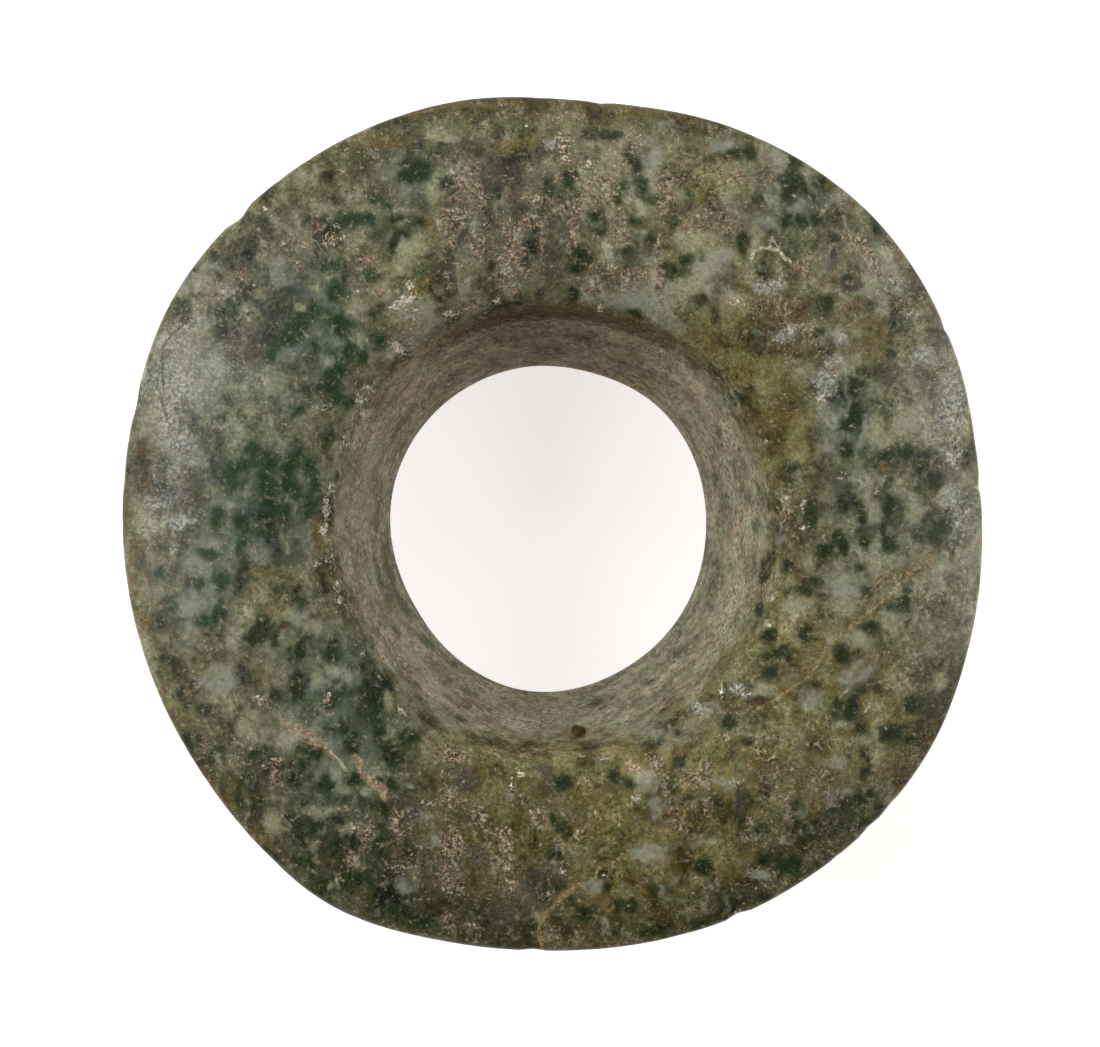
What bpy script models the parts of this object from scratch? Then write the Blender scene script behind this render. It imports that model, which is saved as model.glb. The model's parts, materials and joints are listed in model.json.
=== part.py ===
# A jade ear flare, carved from one piece. A thin round flare with a softly domed face opens
# into a throat that narrows towards the back, and a short tubular stem, which went through
# the ear lobe, stands behind it. A small tie hole is drilled through the wall of the throat
# from both sides. The flare lies face up, on the flat end of its stem.
#
# Lengths are in metres. The origin is in the middle of the rim's outline, at the height of
# the stem's end. +Z comes out of the face. Bearings are in degrees, from +X towards +Y.

import math

import bmesh
import bpy
import numpy as np

# Flare
DEPTH = 0.024  # from the stem's end to the crown, the highest ring of the face
RIM_RADIUS = 0.0353  # mean radius of the outline
RIM_DROP = 0.0025  # how far the face falls from its crown to the rim
LIP_THICKNESS = 0.0018  # thickness at the rim
LIP_ROUNDING = 0.0007  # how far in from the outline the rim is rounded
CROWN_RADIUS = 0.0222

# Throat and stem
MOUTH_RADIUS = 0.0182  # where the face turns down into the throat
MOUTH_DROP = 0.0021  # how far that edge lies below the crown
THROAT_RADIUS = 0.0137  # mean radius of the throat at the stem's end
STEM_WALL = 0.0025  # wall at the stem's end
STEM_LENGTH = 0.007  # straight stretch, below the cove that leads out under the flare
STEM_SWELL = 0.0001  # how far the straight stretch bulges
EDGE_ROUNDING = 0.0004  # of the stem's two edges

# Tie hole, drilled from both sides and so narrowest inside the wall
HOLE_BEARING = -82.4
HOLE_DEPTH = 0.0073  # below the crown
HOLE_MOUTH_RADIUS = 0.0008
HOLE_WAIST_RADIUS = 0.00048

# The throat's axis wanders off the middle of the rim: (x, y) at the stem's end and the mouth
THROAT_SHIFT = (-0.00035, -0.0004)
MOUTH_SHIFT = (0.0, -0.00045)

# How far the hand-ground outlines leave a true circle: (bearing, percent of the radius)
RIM_WAVER = [
    (7, -1.3),
    (24, 0.7),
    (44, 2.1),
    (64, 0.3),
    (85, -2.5),
    (104, -0.2),
    (136, 1.3),
    (150, 1.6),
    (168, -0.5),
    (192, -1.2),
    (214, -1.0),
    (226, 0.1),
    (240, 1.7),
    (256, -0.8),
    (272, -1.7),
    (300, 0.1),
    (328, 1.2),
    (344, -0.2),
]
THROAT_WAVER = [
    (0, -1.8),
    (45, 1.8),
    (75, 0.6),
    (100, 1.6),
    (160, 0.3),
    (208, -3.6),
    (232, -1.2),
    (262, 2.3),
    (300, -0.6),
    (335, -1.7),
]

# Curves of the section
THROAT_CURVE = 1.4  # 1 is a straight cone, and more flares towards the mouth
SHOULDER_CURVE = 2.0  # how tightly the face rounds over into the throat
FACE_CURVE = 1.8  # how the face rolls over from the crown to the rim
COVE_RISE = 0.8  # how far the cove climbs before it turns out, as a share of its height
COVE_REACH = 0.78  # how far in the underside stays level, as a share of its width

# Steps of the mesh
SEGMENTS = 96
THROAT_STEPS = 5  # from the stem's end up to the tie hole
MOUTH_STEPS = 3  # from the tie hole to the mouth
SHOULDER_STEPS = 4
FACE_STEPS = 7
LIP_STEPS = 4
UNDERSIDE_STEPS = 7  # from the rim in to the tie hole
COVE_STEPS = 4  # from the tie hole down to the stem
STEM_STEPS = 2
EDGE_STEPS = 2
HOLE_STEPS = 4

MOUTH_HEIGHT = DEPTH - MOUTH_DROP
HOLE_HEIGHT = DEPTH - HOLE_DEPTH
LIP_HEIGHT = DEPTH - RIM_DROP - LIP_THICKNESS / 2
LIP_RADIUS = RIM_RADIUS - LIP_ROUNDING  # where the face and the underside meet the lip


def waver_at(bearing, points):
    """The share of the radius by which an outline stands out, eased from point to point."""
    count = len(points)
    bearing = bearing % 360
    last = max((i for i in range(count) if points[i][0] <= bearing), default=-1)
    # Four points round the bearing, each carried on past 360 degrees where it has to be
    near = []
    for i in range(last - 1, last + 3):
        turns, index = divmod(i, count)
        near.append((points[index][0] + 360 * turns, points[index][1]))
    (x0, y0), (x1, y1), (x2, y2), (x3, y3) = near
    width = x2 - x1
    t = (bearing - x1) / width
    slope_1 = (y2 - y0) / (x2 - x0) * width
    slope_2 = (y3 - y1) / (x3 - x1) * width
    eased = (
        (2 * t**3 - 3 * t**2 + 1) * y1
        + (t**3 - 2 * t**2 + t) * slope_1
        + (3 * t**2 - 2 * t**3) * y2
        + (t**3 - t**2) * slope_2
    )
    return eased / 100


def place(bearing, radius, height):
    """A point of the worked stone, from its bearing, radius and height on the true form."""
    share = (radius - THROAT_RADIUS) / (RIM_RADIUS - THROAT_RADIUS)
    turn = math.radians(bearing)
    worked = radius + RIM_RADIUS * waver_at(bearing, RIM_WAVER) * share
    worked += THROAT_RADIUS * waver_at(bearing, THROAT_WAVER) * (1 - share)
    radii = (THROAT_RADIUS, MOUTH_RADIUS, RIM_RADIUS)
    shift_x = np.interp(radius, radii, (THROAT_SHIFT[0], MOUTH_SHIFT[0], 0))
    shift_y = np.interp(radius, radii, (THROAT_SHIFT[1], MOUTH_SHIFT[1], 0))
    return (
        shift_x + worked * math.cos(turn),
        shift_y + worked * math.sin(turn),
        height,
    )


def steps(start, end, count):
    """Evenly spaced values from start to just before end."""
    return [start + (end - start) * i / count for i in range(count)]


def throat_radius(height):
    share = max(height, 0) / MOUTH_HEIGHT
    return THROAT_RADIUS + (MOUTH_RADIUS - THROAT_RADIUS) * share**THROAT_CURVE


def stem_radius(height):
    """Outside of the straight stretch, which follows the throat and bulges a little."""
    foot = THROAT_RADIUS + STEM_WALL
    neck = throat_radius(STEM_LENGTH) + STEM_WALL
    share = height / STEM_LENGTH
    return foot + (neck - foot) * share + STEM_SWELL * math.sin(math.pi * share)


def back_curve():
    """The cove and the underside, from the stem out to the lip, as radii and heights."""
    neck = np.array((stem_radius(STEM_LENGTH), STEM_LENGTH))
    lip = np.array((LIP_RADIUS, LIP_HEIGHT - LIP_THICKNESS / 2))
    width, rise = lip - neck
    spread = (neck[0] - THROAT_RADIUS - STEM_WALL) / STEM_LENGTH
    up = neck + np.array((spread, 1)) * rise * COVE_RISE
    out = lip - np.array((width * COVE_REACH, 0))
    t = np.linspace(0, 1, 241)[:, None]
    points = (
        (1 - t) ** 3 * neck
        + 3 * (1 - t) ** 2 * t * up
        + 3 * (1 - t) * t**2 * out
        + t**3 * lip
    )
    return points[:, 0], points[:, 1]


def back_radius(height):
    radii, heights = back_curve()
    return float(np.interp(height, heights, radii))


def back_points(shares):
    """Points of the back curve, at shares of the way along it from the stem to the lip."""
    radii, heights = back_curve()
    along = np.linspace(0, 1, len(radii))
    return [(np.interp(s, along, radii), np.interp(s, along, heights)) for s in shares]


def section():
    """The section's closed outline, up the throat, over the face, round the rim and back.

    Returns its (radius, height) points, and which of them lie level with the tie hole
    in the throat and on the back.
    """
    points = []
    for height in steps(EDGE_ROUNDING, HOLE_HEIGHT, THROAT_STEPS):
        points.append((throat_radius(height), height))
    inner_level = len(points)
    for height in steps(HOLE_HEIGHT, MOUTH_HEIGHT, MOUTH_STEPS):
        points.append((throat_radius(height), height))
    for share in steps(0, 1, SHOULDER_STEPS):
        radius = MOUTH_RADIUS + (CROWN_RADIUS - MOUTH_RADIUS) * share
        points.append((radius, DEPTH - MOUTH_DROP * (1 - share) ** SHOULDER_CURVE))
    for share in steps(0, 1, FACE_STEPS):
        radius = CROWN_RADIUS + (LIP_RADIUS - CROWN_RADIUS) * share
        points.append((radius, DEPTH - RIM_DROP * share**FACE_CURVE))
    for turn in steps(math.pi / 2, -math.pi / 2, LIP_STEPS):
        radius = LIP_RADIUS + LIP_ROUNDING * math.cos(turn)
        points.append((radius, LIP_HEIGHT + LIP_THICKNESS / 2 * math.sin(turn)))

    radii, heights = back_curve()
    level = float(np.interp(HOLE_HEIGHT, heights, np.linspace(0, 1, len(heights))))
    points += back_points(steps(1, level, UNDERSIDE_STEPS))
    outer_level = len(points)
    points += back_points(steps(level, 0, COVE_STEPS))
    for height in steps(STEM_LENGTH, EDGE_ROUNDING, STEM_STEPS):
        points.append((stem_radius(height), height))

    outer = stem_radius(EDGE_ROUNDING) - EDGE_ROUNDING
    inner = throat_radius(EDGE_ROUNDING) + EDGE_ROUNDING
    for middle, start in ((outer, 0), (inner, -math.pi / 2)):
        for step in range(EDGE_STEPS + 1):
            turn = start - math.pi / 2 * step / EDGE_STEPS
            radius = middle + EDGE_ROUNDING * math.cos(turn)
            points.append((radius, EDGE_ROUNDING * (1 + math.sin(turn))))
    points.pop()  # the last one is the throat's first
    return points, inner_level, outer_level


def hole_ring(share):
    """Corners of the tie hole's outline, at a share of the way out through the wall.

    They go round like the eight mesh corners about one corner of the throat's wall.
    """
    widening = abs(2 * share - 1)
    size = HOLE_WAIST_RADIUS + (HOLE_MOUTH_RADIUS - HOLE_WAIST_RADIUS) * widening
    corners = []
    for step in range(8):
        turn = math.radians(-135 + 45 * step)
        height = HOLE_HEIGHT + size * math.sin(turn)
        inside = throat_radius(height)
        radius = inside + (back_radius(height) - inside) * share
        bearing = HOLE_BEARING + math.degrees(size * math.cos(turn) / radius)
        corners.append(place(bearing, radius, height))
    return corners


def around(grid, level):
    """The eight mesh corners about the tie hole's middle, on the ring at this level."""
    sides = ((-1, -1), (0, -1), (1, -1), (1, 0), (1, 1), (0, 1), (-1, 1), (-1, 0))
    # Rings run up the throat and down the back, so the back is taken the other way
    up = 1 if grid[level + 1][0].co.z > grid[level][0].co.z else -1
    return [grid[level + up * row][column] for column, row in sides]


def drill_tie_hole(mesh, grid, inner_level, outer_level):
    rings = [around(grid, inner_level)]
    for step in range(1, HOLE_STEPS):
        corners = hole_ring(step / HOLE_STEPS)
        rings.append([mesh.verts.new(corner) for corner in corners])
    rings.append(around(grid, outer_level))
    for ring, share in ((rings[0], 0), (rings[-1], 1)):
        for vertex, corner in zip(ring, hole_ring(share)):
            vertex.co = corner
    middles = [grid[inner_level][0], grid[outer_level][0]]
    bmesh.ops.delete(mesh, geom=middles, context="VERTS")
    for ring, further in zip(rings, rings[1:]):
        for i in range(8):
            j = (i + 1) % 8
            mesh.faces.new((ring[i], further[i], further[j], ring[j]))


def jade():
    material = bpy.data.materials.new("mottled_green_jade")
    material.use_nodes = True
    shader = material.node_tree.nodes["Principled BSDF"]
    shader.inputs["Base Color"].default_value = (0.122, 0.117, 0.069, 1)
    shader.inputs["Roughness"].default_value = 0.5
    shader.inputs["Metallic"].default_value = 0
    return material


def ear_flare():
    mesh = bmesh.new()
    points, inner_level, outer_level = section()
    bearings = [HOLE_BEARING + 360 * i / SEGMENTS for i in range(SEGMENTS)]
    grid = [[mesh.verts.new(place(b, *point)) for b in bearings] for point in points]
    for ring, further in zip(grid, grid[1:] + grid[:1]):
        for i in range(SEGMENTS):
            j = (i + 1) % SEGMENTS
            mesh.faces.new((ring[i], further[i], further[j], ring[j]))
    drill_tie_hole(mesh, grid, inner_level, outer_level)
    bmesh.ops.recalc_face_normals(mesh, faces=mesh.faces)

    data = bpy.data.meshes.new("ear_flare")
    mesh.to_mesh(data)
    mesh.free()
    data.shade_smooth()
    data.set_sharp_from_angle(angle=math.radians(40))
    data.materials.append(jade())
    flare = bpy.data.objects.new("ear_flare", data)
    bpy.context.scene.collection.objects.link(flare)


for item in list(bpy.data.objects):
    bpy.data.objects.remove(item)
ear_flare()
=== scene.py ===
import json
import math

import bpy
import numpy as np
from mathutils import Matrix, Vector, noise

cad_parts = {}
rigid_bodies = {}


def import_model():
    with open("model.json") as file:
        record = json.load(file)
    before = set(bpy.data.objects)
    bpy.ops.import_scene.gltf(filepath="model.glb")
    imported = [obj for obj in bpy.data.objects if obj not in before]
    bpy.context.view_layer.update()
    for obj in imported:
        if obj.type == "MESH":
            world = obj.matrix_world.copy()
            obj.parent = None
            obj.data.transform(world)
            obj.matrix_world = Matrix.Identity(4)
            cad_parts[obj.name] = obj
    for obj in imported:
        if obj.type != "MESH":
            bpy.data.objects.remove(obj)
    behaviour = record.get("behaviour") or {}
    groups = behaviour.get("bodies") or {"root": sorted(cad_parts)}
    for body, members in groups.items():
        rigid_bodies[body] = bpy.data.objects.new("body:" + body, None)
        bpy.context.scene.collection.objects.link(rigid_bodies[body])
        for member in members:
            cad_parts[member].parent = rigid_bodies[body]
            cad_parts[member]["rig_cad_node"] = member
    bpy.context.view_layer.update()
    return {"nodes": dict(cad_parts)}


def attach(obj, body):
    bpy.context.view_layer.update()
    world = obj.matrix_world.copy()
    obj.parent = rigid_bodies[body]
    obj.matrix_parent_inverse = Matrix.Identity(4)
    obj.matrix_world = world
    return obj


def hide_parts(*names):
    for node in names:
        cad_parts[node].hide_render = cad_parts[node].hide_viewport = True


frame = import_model()
mm = 0.001
print("frame loaded")


# Camera, straight above the flare. It comes first because the marks are placed as it sees them

viewSettings = {
    "lens": 150,  # mm
    "sensorWidth": 36,  # mm
    "imageWidth": 1100,
    "imageHeight": 1047,
    "rimMiddle": (552.75, 523.5),  # pixels from the picture's top left
    "pixelsPerMm": 12.35,  # at the rim
    "rimHeight": 21.5,  # mm above the floor
}


def makeCamera(settings):
    distance = settings["imageWidth"] / settings["pixelsPerMm"] * settings["lens"] / settings["sensorWidth"]
    middleX, middleY = settings["rimMiddle"]
    x = (settings["imageWidth"] / 2 - middleX) / settings["pixelsPerMm"]
    y = (middleY - settings["imageHeight"] / 2) / settings["pixelsPerMm"]
    place = Vector((x, y, settings["rimHeight"] + distance)) * mm
    bpy.ops.object.camera_add(location=place, rotation=(0, 0, 0))
    camera = bpy.context.active_object
    camera.name = "camera"
    camera.data.lens = settings["lens"]
    camera.data.sensor_width = settings["sensorWidth"]
    camera.data.clip_start = 0.01
    camera.data.clip_end = 10
    bpy.context.scene.camera = camera
    return place / mm


cameraPlace = makeCamera(viewSettings)
print("camera placed")


# Marks where the camera sees them, in tenths of a mm from the rim's middle, +x right and +y up:
# x, y, half width, half height, then if needed the strength in tenths and the turn in degrees

faceClouds = {}  # marks that fade out over their edges

greenSpots = [
    # left
    (-178, 114, 7, 16), (-164, 98, 4, 6), (-205, 91, 9, 4, 10, 35), (-185, 72, 2.5, 4), (-271, 86, 4, 3),
    (-258, 45, 13, 5, 10, 20), (-228, 49, 11, 7), (-214, 45, 6, 10), (-233, 32, 5, 12), (-218, 29, 7, 10),
    (-230, 21, 10, 9), (-218, 8, 7, 6), (-206, 26, 4, 9), (-192, 30, 5, 9), (-197, 46, 6, 8),
    (-196, 14, 4, 8), (-245, 60, 6, 6), (-262, 30, 5, 6), (-250, 23, 4, 9), (-253, 1, 6, 8), (-272, 4, 5, 9),
    (-252, -17, 5, 8), (-249, -30, 4, 5), (-237, -8, 6, 4), (-277, -25, 9, 4), (-288, -22, 5, 3),
    (-269, -47, 5, 10), (-287, -50, 4, 4), (-322, -42, 4, 6), (-284, -79, 8, 4), (-267, -70, 5, 3),
    (-307, -70, 4, 7), (-243, -92, 10, 8), (-236, -84, 3, 9), (-225, -94, 5, 6), (-206, -98, 3, 9),
    (-177, -94, 5, 5), (-181, -107, 5, 4), (-203, -67, 4, 5), (-218, -64, 3, 3), (-193, -57, 3, 4),
    (-316, -108, 5, 3),
    # lower left
    (-301, -138, 5, 5), (-296, -145, 4, 5), (-281, -152, 7, 5), (-259, -158, 3, 8), (-292, -176, 6, 7),
    (-272, -186, 7, 7), (-240, -187, 6, 6), (-249, -208, 4, 5), (-264, -207, 3, 3), (-252, -225, 4, 6),
    (-242, -227, 7, 6), (-245, -235, 5, 4), (-205, -138, 5, 7), (-191, -152, 4, 4), (-180, -144, 5, 8),
    (-152, -133, 7, 6), (-147, -144, 6, 9), (-153, -154, 4, 5), (-142, -156, 5, 8), (-157, -117, 6, 4),
    (-168, -163, 4, 6), (-141, -170, 6, 8), (-116, -173, 7, 6), (-162, -180, 5, 7), (-132, -185, 6, 13),
    (-194, -186, 8, 6), (-202, -197, 5, 5), (-197, -205, 7, 4), (-185, -210, 7, 7), (-161, -207, 9, 6),
    (-136, -210, 8, 6), (-170, -223, 8, 5), (-136, -230, 5, 7), (-140, -257, 4, 11), (-135, -270, 4, 5),
    (-214, -242, 8, 8), (-195, -248, 3, 5), (-175, -260, 5, 8), (-208, -273, 6, 6), (-196, -277, 5, 8),
    (-162, -288, 15, 5), (-177, -293, 12, 5), (-149, -305, 6, 4), (-187, -302, 5, 3), (-125, -312, 6, 4),
    (-110, -322, 9, 6), (-130, -323, 4, 3),
    # bottom
    (9, -210, 8, 8), (16, -220, 5, 5), (2, -242, 3, 5), (11, -248, 5, 4), (2, -270, 7, 5), (6, -296, 5, 4),
    (13, -305, 5, 5), (27, -315, 6, 8), (43, -296, 4, 4), (64, -210, 6, 5), (50, -205, 4, 7),
    (31, -221, 3, 3), (102, -194, 4, 6), (102, -169, 3, 3), (87, -176, 3, 3), (97, -215, 3, 9),
    (111, -223, 6, 4), (122, -280, 8, 8), (91, -296, 10, 5), (66, -312, 6, 6), (54, -310, 4, 5),
    (74, -330, 8, 3), (95, -328, 4, 3), (-16, -326, 4, 8), (-85, -305, 6, 7), (-102, -269, 3, 10),
    # lower right
    (177, -107, 6, 3), (178, -120, 9, 6), (238, -107, 4, 6), (253, -135, 4, 5), (231, -150, 4, 8),
    (243, -150, 5, 10), (250, -165, 4, 5), (273, -172, 11, 6), (290, -175, 5, 5), (292, -147, 8, 7),
    (308, -147, 6, 8), (143, -162, 5, 6), (157, -177, 5, 5), (254, -187, 5, 4), (253, -200, 5, 6),
    (238, -188, 4, 3), (174, -215, 4, 6), (134, -230, 3, 7), (152, -229, 6, 15), (198, -238, 4, 9),
    (205, -250, 4, 8), (232, -240, 9, 9), (248, -223, 6, 4), (258, -218, 5, 4), (253, -242, 5, 3),
    (168, -248, 4, 10), (170, -272, 5, 5), (187, -277, 7, 6), (198, -276, 6, 7), (143, -307, 7, 4),
    (173, -302, 5, 4), (112, -323, 12, 4),
    # right
    (245, 95, 5, 22), (239, 78, 8, 8), (237, 60, 5, 7), (252, 58, 5, 4), (269, 58, 6, 4), (285, 56, 5, 6),
    (263, 47, 5, 6), (194, 44, 11, 5), (205, 38, 4, 3), (275, 30, 3, 5), (273, 11, 4, 9), (281, 6, 2.5, 5),
    (306, 43, 4, 5), (311, 32, 5, 6), (236, 15, 5, 5), (208, 6, 6, 8), (233, -7, 4, 6), (235, -18, 5, 8),
    (253, 3, 3, 6), (253, -12, 3, 6), (220, -23, 7, 6), (273, -17, 6, 7), (268, -3, 3, 4), (315, -2, 8, 7),
    (302, -12, 6, 3), (179, 13, 3, 4), (168, 27, 3, 4), (189, -33, 4, 5), (247, -34, 4, 4), (170, -43, 4, 7),
    (207, -55, 6, 4), (212, -45, 5, 3), (253, -58, 4, 6), (288, -53, 6, 4), (268, -67, 4, 3),
    (283, -64, 7, 5), (174, -92, 6, 6), (167, -72, 3, 5), (203, -88, 5, 6), (258, -85, 6, 6),
    (176, -106, 6, 4), (188, -103, 5, 3), (233, -105, 5, 6), (248, -105, 4, 4),
    # upper right
    (159, 299, 4, 8), (129, 295, 3, 6), (120.5, 298, 3, 3), (143, 298, 7, 4), (195, 293, 9, 5),
    (190, 281, 6, 5), (194, 274, 10, 7), (174, 265, 9, 5), (188, 266, 6, 4), (204, 268, 5, 3),
    (190, 245, 8, 7), (201, 245, 5, 7), (213, 247, 4, 5), (180, 238, 5, 3), (234, 247, 5, 4),
    (261, 237, 3, 3), (129, 259, 6, 5), (110, 264, 3, 5), (99, 243, 4, 3), (83, 264, 4, 4), (154, 227, 5, 9),
    (96, 204, 4, 6), (106, 214, 5, 5), (108, 204, 3.5, 4), (121, 215, 3, 3), (131, 169, 4, 8),
    (121, 181, 5, 4), (177, 154, 5, 4), (218, 154, 5, 5), (221, 178, 6, 5), (225, 221, 6, 8),
    (240, 195, 10, 6), (258, 176, 2, 4), (244, 116, 5, 13), (158, 109, 4, 4), (149, 99, 8, 5),
    (275, 137, 5, 5),
    # top
    (-108, 286, 10, 9), (-119, 281, 8, 7), (-107, 244, 6, 4), (-123, 234, 6, 6), (-59, 303, 5, 5),
    (-85, 276, 5, 5), (-26, 253, 7, 4), (-2, 273, 4, 9), (13, 279, 6, 10), (22, 264, 5, 3), (28, 315, 7, 5),
    (46, 315, 12, 5), (63, 298, 5, 7), (68, 289, 5, 7), (70, 274, 5, 7), (80, 262, 8, 4), (57, 273, 4, 3),
    (52, 264, 5, 4), (35, 248, 8, 5), (67, 245, 4, 3), (80, 228, 4, 6), (59, 219, 5, 6), (36, 237, 5, 4),
    (22, 216, 5, 9), (19, 207, 6, 7), (-35, 224, 3, 3), (-51, 208, 4, 5), (-85, 208, 4, 15),
    (-82, 190, 6, 10), (-98, 199, 3, 4), (16, 187, 4, 6), (66, 168, 5, 4.5), (93, 203, 4, 5),
    # upper left
    (-135, 298, 4, 4), (-146, 265, 5, 4), (-135, 258, 5, 4), (-150, 247, 8, 6), (-128, 248, 8, 4),
    (-142, 232, 4, 4), (-128, 227, 3, 3), (-163, 245, 10, 8), (-148, 202, 6, 5), (-185, 210, 6, 5),
    (-173, 208, 4, 5), (-176, 187, 8, 8), (-195, 173, 6, 5), (-207, 172, 8, 4), (-208, 162, 10, 10),
    (-217, 150, 9, 7), (-203, 155, 6, 5), (-228, 137, 5, 7), (-185, 157, 4, 5), (-140, 145, 6, 6),
    (-152, 134, 4, 7), (-163, 140, 6, 6), (-180, 138, 5, 5), (-175, 126, 7, 10), (-317, 122, 3, 6),
    (-258, 177, 6, 6), (-215, 185, 8, 6), (-233, 240, 7, 7), (-240, 227, 6, 6), (-172, 160, 11, 9),
]

# pale patches in the stone; those on the left, right and top rim are a painted grey-blue sheen, where the
# lamps catch the rim
paleCloudsAndSheen = [
    (-245, 91, 6, 5), (-263, 15, 10, 4), (-210, -74, 12, 7), (-193, -84, 10, 6), (-294, -67, 17, 12),
    (-247, -162, 13, 12), (-240, -173, 10, 5), (-215, -174, 12, 8), (-192, -128, 6, 10), (-177, -120, 7, 6),
    (-165, -125, 3, 8), (-132, -142, 5, 8), (-177, -203, 4, 6), (-225, -243, 10, 10), (-190, -233, 15, 5),
    (-163, -247, 6, 4), (-122, -295, 8, 8), (-152, -217, 4, 5), (-270, -130, 16, 20), (75, -267, 18, 9),
    (74, -206, 10, 8), (33, -293, 9, 6), (-96, -256, 4, 6), (170, -135, 9, 7), (210, -143, 10, 9),
    (237, -127, 7, 4), (233, -163, 8, 5), (254, -177, 13, 4), (230, -193, 9, 7), (263, -190, 4, 7),
    (138, -208, 10, 4), (105, -200, 5, 6), (128, -257, 9, 5), (167, -285, 9, 5), (240, -217, 8, 4),
    (312, -128, 8, 8), (268, 68, 12, 6), (262, 79, 5, 14), (223, 62, 8, 8), (287, 83, 12, 15),
    (254, 22, 3, 6), (294, 10, 8, 10), (234, -56, 16, 21), (262, -33, 6, 9), (195, -67, 12, 8),
    (280, -32, 6, 5), (273, -78, 12, 7), (245, -92, 12, 7), (294, -80, 7, 7), (310, -105, 6, 5),
    (183, 295, 8, 8), (139, 306, 9, 5), (140, 266, 5, 9), (89, 323, 8, 4), (103, 193, 12, 7, 10, 30),
    (124, 204, 14, 7, 10, 30), (137, 216, 10, 6), (178, 243, 7, 4), (102, 230, 3, 8), (83, 297, 4, 10),
    (230, 153, 6, 6), (-96, 274, 6, 12), (-114, 226, 18, 11), (80, 283, 6, 13), (70, 255, 6, 9),
    (86, 215, 7, 6), (74, 178, 6, 5), (54, 180, 6, 5), (116, 206, 8, 8), (47, 249, 3, 5), (-126, 208, 10, 8),
    (-137, 190, 8, 9), (-157, 173, 10, 8), (-277, 207, 9, 4), (-297, 190, 8, 7), (-108, 169, 10, 9),
    (320, 22, 11, 11), (318, -35, 8, 7), (338, -46, 4, 9), (-89, 314, 16, 5), (-193, 283, 4, 9),
    (-222, 213, 5, 7, 6), (-237, 187, 6, 6), (260, 11, 9, 12), (169, -79, 8, 12, 7),
    (246, -120, 12, 8, 10, 40), (85, -230, 16, 13, 6), (106, 265, 8, 9, 8), (270, 172, 12, 8, 7),
    (266, 109, 10, 10, 7), (-110, 164, 20, 15), (-130, 138, 9, 9), (-292, -88, 15, 13, 8),
    (-175, 58, 7, 16, 8), (183, -10, 7, 13, 7), (110, -263, 9, 6, 5), (-187, 256, 12, 10, 7),
    (121, 186, 14, 11, 7, 30), (-344, -27, 5, 12, 7), (-225, -218, 12, 10, 6), (73, 233, 9, 9, 6),
    (336, -84, 7, 15, 7), (72, 179, 24, 10), (42, 183, 12, 6), (98, 159, 13, 7, 10, -35),
    (76, -167, 16, 8, 8), (-181, -175, 9, 8, 7), (-196, -260, 8, 7, 6), (224, -224, 8, 7, 6),
    (-176, -249, 7, 6, 6), (237, -138, 9, 6, 6),
]

# smooth dark grey stone with few spots
faceClouds["smokyPatches"] = [
    (2, 228, 10, 38), (-7, 206, 7, 16), (-48, 289, 9, 20), (-30, 270, 10, 24), (-71, 235, 9, 8),
    (-84, 205, 6, 20), (-16, -292, 11, 18), (-40, -315, 20, 16), (-59, -270, 10, 13), (-71, -206, 12, 13),
    (-7, -200, 12, 10), (152, -227, 8, 16), (230, -240, 13, 12), (310, -145, 16, 12), (230, 36, 12, 11),
    (225, 215, 8, 14), (240, 194, 12, 8), (-235, 235, 12, 15), (-215, 183, 10, 8), (274, 124, 14, 16),
    (-120, -235, 15, 20), (-295, 30, 15, 25), (-250, 145, 25, 25),
]

# fine white scuffing near the left and right rims, partly a painted sheen where the side lamps catch the
# rim's outward slope
faceClouds["whiteScuffsAndSheen"] = [
    (-306, 117, 20, 26), (-307, 144, 10, 8), (-298, 159, 8, 4), (-286, 166, 15, 10, 7),
    (-282, 120, 16, 22, 4), (-330, 117, 5, 12), (-321, 94, 8, 4), (-302, 68, 9, 10), (-323, 15, 9, 8),
    (-304, 1, 11, 6), (-307, -21, 6, 5), (-310, 82, 8, 8), (-265, 190, 16, 9, 6), (-305, 40, 22, 50, 5),
    (-305, -60, 16, 25, 3), (322, 87, 12, 24), (325, 53, 8, 10), (322, 111, 10, 18), (323, 20, 11, 12, 7),
    (260, 216, 24, 9, 4, -50), (280, 190, 12, 10, 6), (290, 169, 10, 6, 7), (302, 135, 11, 9),
    (221, 118, 15, 9), (222, 105, 8, 5), (228, 133, 10, 4), (235, 150, 8, 6), (193, 157, 7, 5),
    (184, 194, 7, 4), (170, 191, 9, 5), (-37, 205, 5, 5), (-115, -232, 8, 5, 6), (120, -150, 12, 9, 8),
    (148, -134, 10, 8, 7), (300, 80, 14, 25, 4), (330, -70, 8, 25, 4), (330, 5, 10, 25, 8),
    (-260, 130, 35, 50, 3.5), (332, -35, 7, 15, 7), (-1, 308, 8, 6, 8), (177, 194, 16, 6, 5),
    (182, 150, 9, 6, 8), (-112, 170, 12, 9, 8), (-117, 144, 8, 9, 8), (58, 192, 14, 7, 5),
    (-294, 4, 10, 8, 5), (-344, -26, 4, 12, 5),
]

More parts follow.
